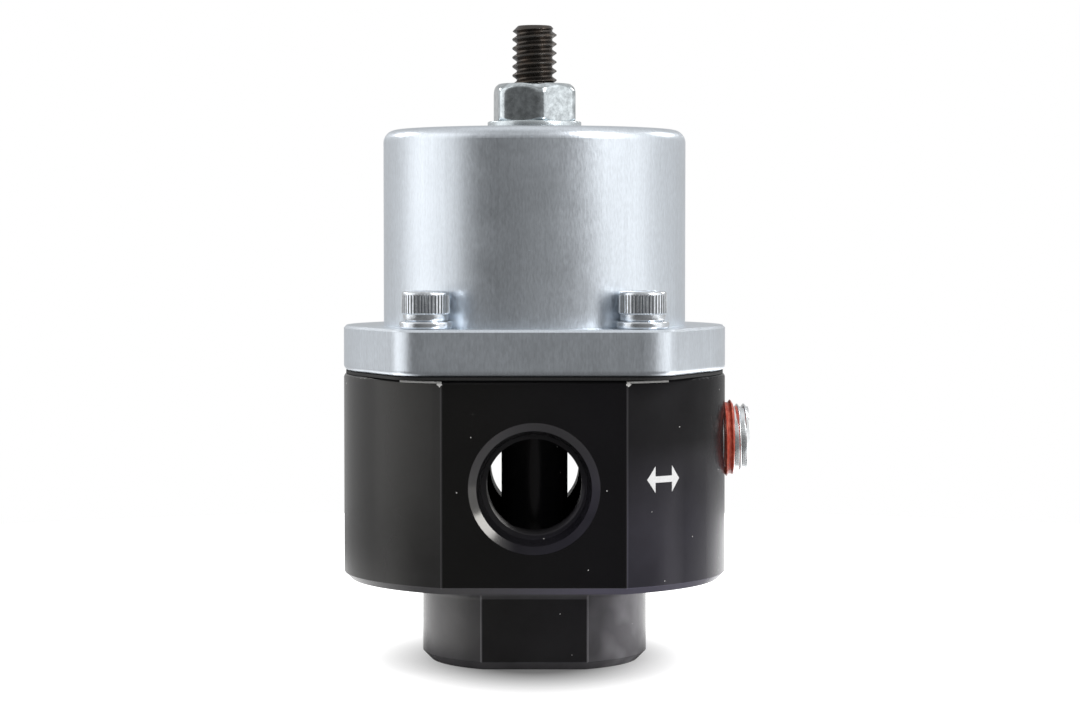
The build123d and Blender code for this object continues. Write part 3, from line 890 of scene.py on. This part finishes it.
def lock_washer():
    """A split ring of rounded square wire, cut on a slant. z = 0 is its foot."""
    outer, inner, corner = 3.56 * MM, 1.85 * MM, 0.3 * MM
    high = WASHER_HIGH.z - WASHER_LOW.z
    steps = 72
    gap, slant = 0.22, 0.16         # in radians
    middle, half = (outer + inner) / 2, (outer - inner) / 2
    section = []
    for out, up, first in ((1, 1, 0), (-1, 1, 90), (-1, -1, 180), (1, -1, 270)):
        for step in (0, 22, 45, 68, 90):
            x, y, _ = polar(corner, math.radians(first + step), 0)
            section.append((middle + out * (half - corner) + x,
                            high / 2 + up * (high / 2 - corner) + y))
    rows = []
    for i in range(steps + 1):
        turn = gap / 2 + (TAU - gap) * (i / steps)
        rows.append([polar(r, turn + slant * (z / high - 0.5), z) for r, z in section[::-1]])
    return from_rows("lock_washer", rows)


def corners_tree():
    """Sets a copy of a piece at the four corners of a rectangle, each turned its own way."""
    lengths = dict.fromkeys(("Width", "Depth", "Height", "Turn", "Turn spread"), 0.0)
    tree, value = new_tree("Corners", lengths, {"Seed": 0})
    grid = add_node(
        tree, "GeometryNodeMeshGrid", Size_X=value["Width"], Size_Y=value["Depth"],
        Vertices_X=2, Vertices_Y=2)
    raised = add_node(
        tree, "GeometryNodeSetPosition", Geometry=grid.outputs["Mesh"],
        Offset=join_vector(tree, 0.0, 0.0, value["Height"]))
    chance = add_node(tree, "FunctionNodeRandomValue", {"data_type": "FLOAT"}, Seed=value["Seed"])
    angle = value["Turn"] + Term(tree, chance.outputs[1]) * value["Turn spread"]
    placed = add_node(
        tree, "GeometryNodeInstanceOnPoints", Points=raised.outputs[0], Instance=value["Geometry"],
        Rotation=join_vector(tree, 0.0, 0.0, angle))
    return end_tree(tree, placed.outputs[0], value["Material"])


def at_corners(piece, name, height, material, turn, turn_spread):
    """The piece's four copies, on the cap screws' axes, each turned a little differently."""
    tree = bpy.data.node_groups.get("Corners") or corners_tree()
    mesh = piece.data
    bpy.data.objects.remove(piece)
    return run_tree(
        name, tree, mesh, Width=CAP_SPAN[0], Depth=CAP_SPAN[1], Height=height, Turn=turn,
        Turn_spread=turn_spread, Seed=SEED, Material=material)


def nut(sizes):
    """A hexagon nut with rounded corners. It is rounded deep at the top and a little below."""
    columns, turn = 144, math.radians(-81)
    across, corner, bore, bevel = 11.0 * MM, 6.2 * MM, 3.2 * MM, 0.4 * MM
    crown_high, crown_in = 1.5 * MM, 1.15 * MM
    foot_high, foot_in = 0.45 * MM, 0.4 * MM
    low, high = NUT_LOW.z, NUT_HIGH.z
    blend = sizes.nut_rounding / 3
    levels = [z * MM for z in (0, 0.02, 0.05, 0.09, 0.14, 0.2, 0.28, 0.4, 0.6, 0.8, 1.1, 1.5)]
    heights = [low + z for z in levels] + [high - z for z in levels[::-1]]

    def outside(z):
        crown = corner - crown_in * (1 - min((high - z) / crown_high, 1.0)) ** 2
        foot = corner - foot_in * (1 - min((z - low) / foot_high, 1.0)) ** 2
        return lambda angle: soft_least((hexagon_radius(across, angle), crown, foot), blend)

    profile = [
        (bore, low + bevel), (bore + bevel, low), *((outside(z), z) for z in heights),
        (bore + bevel, high), (bore, high - bevel)]
    rows = [ring(r, z, columns, turn) for r, z in profile]
    return from_rows("jam_nut_rounded", rows, loop=True)


def washer_ring():
    """The steel ring of the bonded washer, with stamped edges."""
    outer, inner = half_width(RING_LOW, RING_HIGH), 4.7 * MM
    low, high = RING_LOW.z, RING_HIGH.z
    edge, soft = 0.05 * MM, 0.18 * MM
    profile = [
        (inner, low + edge), (inner + edge, low), (outer - soft, low), (outer - edge, low + edge),
        (outer, low + soft), (outer, high - soft), (outer - edge, high - edge),
        (outer - soft, high), (inner + edge, high), (inner, high - edge)]
    return from_rows("sealing_washer", [ring(r, z, 128) for r, z in profile], loop=True)


def adjuster(sizes):
    """The socket set screw, with its thread, its tip and its socket."""
    length = SCREW_HIGH.z - SCREW_LOW.z
    socket_depth, spare = 3.5 * MM, MM
    rod = threaded_rod(
        "adjusting_screw_threaded", Radius=half_width(SCREW_LOW, SCREW_HIGH), Length=length,
        Depth=sizes.screw_depth, Pitch=sizes.screw_pitch, Low_chamfer=1.3 * MM,
        High_chamfer=0.8 * MM)
    socket = hexagon_prism(
        "adjuster_socket", sizes.screw_socket, length - socket_depth, length + spare, TAU / 12)
    return moved(cut(rod, socket), Matrix.Translation((0, 0, SCREW_LOW.z)))


def along_x(obj, low, high):
    """Lays an upright object along +X. It starts at low.x and lies halfway between the heights."""
    middle = Vector((low.x, 0, (low.z + high.z) / 2))
    return moved(obj, Matrix.Translation(middle) @ Matrix.Rotation(TAU / 4, 4, "Y"))


def pipe_plug(sizes):
    """The tapered plug, with its thread and its socket."""
    length = PLUG_HIGH.x - PLUG_LOW.x
    socket_depth, spare = 5 * MM, MM
    rod = threaded_rod(
        "gauge_plug_threaded", Radius=(PLUG_HIGH.y - PLUG_LOW.y) / 2, Length=length,
        Depth=sizes.plug_depth, Pitch=sizes.plug_pitch, Taper=0.3 * MM / length,
        High_chamfer=0.45 * MM, Low_chamfer=0.45 * MM)
    socket = hexagon_prism(
        "plug_socket", sizes.plug_socket, length - socket_depth, length + spare)
    return along_x(cut(rod, socket), PLUG_LOW, PLUG_HIGH)


def spring_parts(sizes):
    """The pressure spring, cut through near its foot, so that each end can follow its own seat."""
    level = SPRING_LOW.z + sizes.spring_foot
    parts = []
    for name, keep_low in (("spring_foot", True), ("spring_coils", False)):
        part = joined_copy("pressure_spring", name)
        with Shaping(part.data, part.data) as bm:
            bmesh.ops.bisect_plane(
                bm, geom=[*bm.verts, *bm.edges, *bm.faces], plane_co=(0, 0, level),
                plane_no=(0, 0, 1), clear_outer=keep_low, clear_inner=not keep_low)
            bmesh.ops.holes_fill(bm, edges=[e for e in bm.edges if e.is_boundary], sides=0)
            bmesh.ops.recalc_face_normals(bm, faces=bm.faces)
        if not is_closed(part.data):
            raise RuntimeError(name + " isn't closed where the spring is cut")
        parts.append(part)
    return parts


def diaphragm_rim(sizes):
    """The diaphragm's clamped rim, outside the room in which it bends."""
    cutter = from_rows("diaphragm_bore", [
        ring(sizes.diaphragm_room, z, DIAPHRAGM_SLICES * SLICE_STEPS)
        for z in (SHEET_LOW.z - MM, SHEET_HIGH.z + MM)])
    return cut(joined_copy("diaphragm", "diaphragm_rim"), cutter)


def diaphragm_slice(sizes, index):
    """One of the slices inside the diaphragm's rim, between plates and rim."""
    inner, outer = sizes.diaphragm_hole, sizes.diaphragm_room
    steps = 16
    radii = [inner + (outer - inner) * i / steps for i in range(steps + 1)]
    section = [(r, SHEET_HIGH.z) for r in radii] + [(r, SHEET_LOW.z) for r in radii[::-1]]
    angles = [(index + i / SLICE_STEPS) * TAU / DIAPHRAGM_SLICES for i in range(SLICE_STEPS + 1)]
    return from_rows("diaphragm_slice_%d" % (index + 1), [
        [polar(r, angle, z) for r, z in section] for angle in angles])


def sealant_band(sizes):
    """Dried sealant that fills the plug's thread and stands over it, uneven as it was wiped on."""
    columns, steps = 160, 26
    low, high = SEALANT_LOW.x, SEALANT_HIGH.x - 0.25 * MM
    radius = (SEALANT_HIGH.z - SEALANT_LOW.z) / 2
    thick, spare = 1.0 * MM, 0.42 * MM      # spare is what lumps and crests may add
    lump_size, lump_high, crest_high = 0.9 * MM, 0.10 * MM, 0.36 * MM
    inner = radius - thick

    def outside(share):
        x = low + (high - low) * share
        ends = 1 - (2 * share - 1) ** 8

        def at(angle):
            where = Vector((x, radius * math.cos(angle), radius * math.sin(angle)))
            lump = mathutils.noise.noise(where / lump_size) * lump_high
            crest = (0.5 + 0.5 * math.cos(TAU * x / sizes.plug_pitch - angle)) ** 2 * crest_high
            return inner + (thick - spare + lump + crest) * ends
        return at

    end = inner - 0.01 * MM
    profile = [
        (end, 0.0), *((outside(i / steps), (high - low) * i / steps) for i in range(steps + 1)),
        (end, high - low)]
    rows = [ring(r, z, columns) for r, z in profile]
    return along_x(from_rows("sealant_wiped", rows, loop=True), SEALANT_LOW, SEALANT_HIGH)


# The stage

def seen_rays(tree):
    """1 for camera rays, and 1 for glossy and transmission rays, each as a term."""
    path = tree.nodes.new("ShaderNodeLightPath")
    camera, glossy, through = [Term(tree, path.outputs[n]) for n in (
        "Is Camera Ray", "Is Glossy Ray", "Is Transmission Ray")]
    return camera, glossy.math("MAXIMUM", through)


def stage_world():
    """A room that is dim at eye level in front, lighter above it, and pale behind the object."""
    world = bpy.data.worlds.new("studio")
    world.use_nodes = True
    tree = world.node_tree
    back = tree.nodes["Background"]
    x, y, z = split_vector(tree, tree.nodes.new("ShaderNodeTexCoord").outputs["Generated"])
    in_front = spread(y, -0.6, 0.2, 1.0, 0.0)
    window = (spread(x, -0.5, 0.5, 0.0, 0.12)
              + spread(z, 0.12, 0.55, 0.0, 0.35) - spread(z, 0.62, 0.85, 0.0, 0.35))
    walls = spread(y, -0.74, 0.02, 0.125, 0.73) - spread(y, 0.1, 0.8, 0.0, 0.2)
    camera, _ = seen_rays(tree)
    room = walls + in_front * window
    plug(tree, back.inputs["Strength"], room * (1 - camera) + camera)
    back.inputs["Color"].default_value = (1.0, 1.0, 1.0, 1.0)
    bpy.context.scene.world = world


def stage_floor():
    """A round pale table top. Metal sees it bright beside and behind the object only."""
    mesh = bpy.data.meshes.new("table_top")
    with Shaping(mesh) as bm:
        bmesh.ops.create_circle(
            bm, cap_ends=True, segments=96, radius=220 * MM,
            matrix=Matrix.Translation((0, 0, CAD_LOW.z)))
    floor = new_object("table_top", mesh)
    material, tree, shader = new_material("table_paper")
    camera, mirrored = seen_rays(tree)
    x, y, _ = place_parts(tree)
    sides = (spread(x, -36 * MM, -22 * MM, 1.0, 0.0) + spread(x, 22 * MM, 36 * MM, 0.0, 0.4)
             + spread(x, 38 * MM, 50 * MM, 0.0, 0.6))
    beside = spread(y, -45 * MM, -12 * MM) * sides
    behind = beside.math("MAXIMUM", spread(y, 0.0, 30 * MM))
    # the soft shadow lies close round the boss, and metal sees the floor dim in front and far left
    halo = ((x * x) * 1.8 + (y * y) * 0.56).math("SQRT")
    lit = spread(halo, 12 * MM, 34 * MM)
    left = spread(x, -50 * MM, 50 * MM, 1.0, 0.0)
    far_left = spread(hypotenuse(x, y), 80 * MM, 150 * MM) * left
    dimmed = (1 - mirrored * ((1 - behind) * 0.8).math("MAXIMUM", far_left * 0.45)
              - camera * (1 - lit) * 0.75)
    plug(tree, shader.inputs["Base Color"], tinted(tree, (0.86, 0.86, 0.86), dimmed))
    shader.inputs["Roughness"].default_value = 0.7
    shader.inputs["Specular IOR Level"].default_value = 0.2
    shader.inputs["Emission Color"].default_value = (1, 1, 1, 1)
    plug(tree, shader.inputs["Emission Strength"],
         mirrored * behind * (1 - far_left) * 0.95 + camera * (lit * 0.82 + 0.10))
    mesh.materials.append(material)


def soft_light(name, bearing, elevation, distance, width, height, radiance):
    """A softbox that looks at the object, in degrees, metres and radiance.

    Its bearing is from the camera's side towards +X.
    """
    middle = (CAD_LOW + CAD_HIGH) / 2
    b, e = math.radians(bearing), math.radians(elevation)
    away = Vector((math.sin(b) * math.cos(e), -math.cos(b) * math.cos(e), math.sin(e)))
    light = bpy.data.lights.new(name, "AREA")
    light.shape = "RECTANGLE"
    light.size, light.size_y = width, height
    light.energy = radiance * width * height * math.pi
    obj = new_object(name, light)
    obj.location = middle + away * distance
    obj.rotation_euler = (-away).to_track_quat("-Z", "Y").to_euler()


def stage_lights():
    """A tall softbox each side, a wide one overhead, a small key light and two rim lights."""
    # name, bearing, elevation, distance, width, height and radiance
    for light in (
            ("left_softbox", -82, 8, 0.62, 0.62, 0.80, 0.52),
            ("right_softbox", 70, 8, 0.62, 0.46, 0.80, 0.44),
            ("overhead", 135, 82, 0.70, 0.60, 0.60, 0.05),
            ("key", 50, 32, 0.60, 0.14, 0.40, 7.0),
            ("left_rim", -128, 28, 0.55, 0.12, 0.12, 5.0),
            ("right_rim", 128, 28, 0.55, 0.12, 0.12, 5.0)):
        soft_light(*light)


def stage_camera(stage):
    camera = bpy.data.cameras.new("camera")
    camera.sensor_width = 36.0
    camera.lens = stage.lens
    camera.clip_start = 10 * MM
    obj = new_object("camera", camera)
    obj.location = (stage.aside, -stage.distance, stage.height)
    obj.rotation_euler = (TAU / 4 - stage.tilt, 0.0, 0.0)
    bpy.context.scene.camera = obj


# Operators, one for each piece or group of like pieces

def settings(context):
    """The sizes and the colours that the sidebar shows."""
    return context.scene.regulator_sizes, context.scene.regulator_colours


class REGULATOR_OT_body(Operator):
    """Make the black body with the threads in its ports, and the flow mark printed on it"""
    bl_idname = "regulator.body"
    bl_label = "Body"

    def execute(self, context):
        sizes, colours = settings(context)
        body = cut(joined_copy("body", "body_machined"), *port_threads(sizes))
        black = anodised_black(colours.black_anodised)
        finish_piece(smooth(body, degrees=22), "housing", "black_anodised", black, "body")
        finish_piece(flow_mark(sizes), "housing", "black_anodised", printed_mark(colours.mark))
        return {"FINISHED"}


class REGULATOR_OT_bonnet(Operator):
    """Give the bonnet its finish"""
    bl_idname = "regulator.bonnet"
    bl_label = "Bonnet"

    def execute(self, context):
        paint_node("bonnet", anodised_clear(context.scene.regulator_colours.clear_anodised))
        return {"FINISHED"}


class REGULATOR_OT_diaphragm(Operator):
    """Make the diaphragm: its clamped rim and the slices inside it"""
    bl_idname = "regulator.diaphragm"
    bl_label = "Diaphragm"

    def execute(self, context):
        sizes, _ = settings(context)
        cloth = soft_rubber("diaphragm_cloth", weave=0.4)
        rim = smooth(diaphragm_rim(sizes))
        finish_piece(rim, "housing", "diaphragm_rubber", cloth, "diaphragm")
        half = TAU / DIAPHRAGM_SLICES / 2
        for index in range(DIAPHRAGM_SLICES):
            outward = Vector(polar(1, (2 * index + 1) * half, 0))
            finish_bending(
                smooth(diaphragm_slice(sizes, index)), cloth, "diaphragm")
        return {"FINISHED"}


class REGULATOR_OT_spring(Operator):
    """Make the pressure spring, cut into its foot and its coils"""
    bl_idname = "regulator.spring"
    bl_label = "Pressure spring"

    def execute(self, context):
        sizes, _ = settings(context)
        steel = turned_metal("drawn_spring_steel", (0.36, 0.35, 0.35), rough=0.3)
        foot, coils = spring_parts(sizes)
        low, high = SPRING_LOW.z + sizes.spring_wire, SPRING_HIGH.z - sizes.spring_wire
        level = SPRING_LOW.z + sizes.spring_foot
        for piece, first, second, start, end in (
                (foot, "valve", "housing", low, level), (coils, "housing", "button", level, high)):
            finish_bending(
                smooth(piece, degrees=40), steel, "pressure_spring")
        return {"FINISHED"}


class REGULATOR_OT_cap_screws(Operator):
    """Make the four knurled cap screws"""
    bl_idname = "regulator.cap_screws"
    bl_label = "Cap screws"

    def execute(self, context):
        sizes, colours = settings(context)
        zinc = zinc_plate(
            "bright_zinc_plate", colours.bright_zinc, cloudy=0.14, rough=0.14, pitted=1.2,
            knurled=True)
        seat = CAP_HIGH.z - sizes.cap_head_height
        screws = at_corners(
            cap_screw(sizes), "cap_screws", seat, zinc, turn=0.0, turn_spread=TAU)
        finish_piece(smooth(screws, degrees=28), "housing", "bright_zinc", zinc, "bonnet_screws")
        return {"FINISHED"}


class REGULATOR_OT_lock_washers(Operator):
    """Make the four split lock washers"""
    bl_idname = "regulator.lock_washers"
    bl_label = "Lock washers"

    def execute(self, context):
        sizes, colours = settings(context)
        zinc = zinc_plate("washer_zinc_plate", colours.bright_zinc, cloudy=0.10, rough=0.15)
        washers = at_corners(
            lock_washer(), "split_washers", WASHER_LOW.z, zinc, turn=math.radians(50),
            turn_spread=math.radians(80))
        finish_piece(smooth(washers, degrees=40), "housing", "bright_zinc", zinc, "lock_washers")
        return {"FINISHED"}


class REGULATOR_OT_adjuster(Operator):
    """Make the adjusting screw, its jam nut and the sealing washer under it"""
    bl_idname = "regulator.adjuster"
    bl_label = "Adjusting screw and nut"

    def execute(self, context):
        sizes, colours = settings(context)
        oxide = oxide_black(colours.black_oxide)
        finish_piece(smooth(adjuster(sizes)), "screw", "black_oxide", oxide, "adjusting_screw")
        zinc = zinc_plate(
            "clouded_zinc", colours.zinc, cloudy=0.34, rough=0.02, size=0.9 * MM, pitted=0.9,
            deep=0.006 * MM)
        finish_piece(smooth(nut(sizes), degrees=50), "nut", "zinc_steel", zinc, "jam_nut")
        steel = zinc_plate("washer_zinc", colours.zinc, cloudy=0.12, rough=0.24)
        finish_piece(smooth(washer_ring(), degrees=50), "washer", "zinc_steel", steel, "seal_ring")
        return {"FINISHED"}


class REGULATOR_OT_gauge_plug(Operator):
    """Make the threaded plug of the gauge port and the sealant round it"""
    bl_idname = "regulator.gauge_plug"
    bl_label = "Gauge plug"

    def execute(self, context):
        sizes, colours = settings(context)
        zinc = zinc_plate(
            "plug_zinc_plate", colours.plug_zinc, cloudy=0.05, rough=0.2, size=2.2 * MM, pitted=0.1)
        finish_piece(smooth(pipe_plug(sizes)), "housing", "bright_zinc", zinc, "gauge_plug")
        paste = dried_sealant(colours.sealant)
        band = smooth(sealant_band(sizes), degrees=60)
        finish_piece(band, "housing", "sealant", paste, "thread_sealant")
        return {"FINISHED"}


class REGULATOR_OT_inner_pieces(Operator):
    """Give the inner pieces and the hose tail their finishes"""
    bl_idname = "regulator.inner_pieces"
    bl_label = "Inner pieces"

    def execute(self, context):
        _, colours = settings(context)
        aluminium = turned_metal("turned_aluminium", (0.78, 0.79, 0.80))
        steel = turned_metal("turned_steel", (0.56, 0.56, 0.57), rough=0.22)
        brass = turned_metal("turned_brass", (0.80, 0.58, 0.26), rough=0.24)
        rubber = soft_rubber("moulded_rubber")
        zinc = zinc_plate("inner_zinc", colours.zinc, cloudy=0.12, rough=0.24)
        finishes = {
            "lower_plate": aluminium, "upper_plate": aluminium, "spring_button": aluminium,
            "valve_stem": steel, "valve_seat": brass, "reference_nipple": brass,
            "valve_pad": rubber, "seal_lip": rubber, "stem_nut": zinc,
        }
        for node, material in finishes.items():
            paint_node(node, material)
        return {"FINISHED"}


class REGULATOR_OT_stage(Operator):
    """Set up the floor, the lights and the camera"""
    bl_idname = "regulator.stage"
    bl_label = "Stage"

    def execute(self, context):
        stage_world()
        stage_floor()
        stage_lights()
        stage_camera(context.scene.regulator_stage)
        context.scene.view_settings.view_transform = "Standard"
        return {"FINISHED"}


class REGULATOR_PT_panel(Panel):
    """The regulator's sizes, colours and pieces"""
    bl_label = "Regulator"
    bl_space_type = "VIEW_3D"
    bl_region_type = "UI"
    bl_category = "Regulator"

    def draw(self, context):
        for group in (context.scene.regulator_sizes, context.scene.regulator_colours,
                      context.scene.regulator_stage):
            box = self.layout.box()
            for name in type(group).__annotations__:
                box.prop(group, name)
        for operator in OPERATORS:
            self.layout.operator(operator.bl_idname)


GROUPS = {
    "regulator_sizes": RegulatorSizes,
    "regulator_colours": RegulatorColours,
    "regulator_stage": RegulatorStage,
}
OPERATORS = (
    REGULATOR_OT_stage, REGULATOR_OT_body, REGULATOR_OT_bonnet, REGULATOR_OT_diaphragm,
    REGULATOR_OT_spring, REGULATOR_OT_cap_screws, REGULATOR_OT_lock_washers,
    REGULATOR_OT_adjuster, REGULATOR_OT_gauge_plug, REGULATOR_OT_inner_pieces,
)


def register():
    for name, group in GROUPS.items():
        bpy.utils.register_class(group)
        setattr(bpy.types.Scene, name, PointerProperty(type=group))
    for cls in (*OPERATORS, REGULATOR_PT_panel):
        bpy.utils.register_class(cls)


def unregister():
    for cls in (REGULATOR_PT_panel, *reversed(OPERATORS)):
        bpy.utils.unregister_class(cls)
    for name, group in GROUPS.items():
        delattr(bpy.types.Scene, name)
        bpy.utils.unregister_class(group)


def main():
    register()
    for operator in OPERATORS:
        family, name = operator.bl_idname.split(".")
        getattr(getattr(bpy.ops, family), name)()


if __name__ == "__main__":
    main()
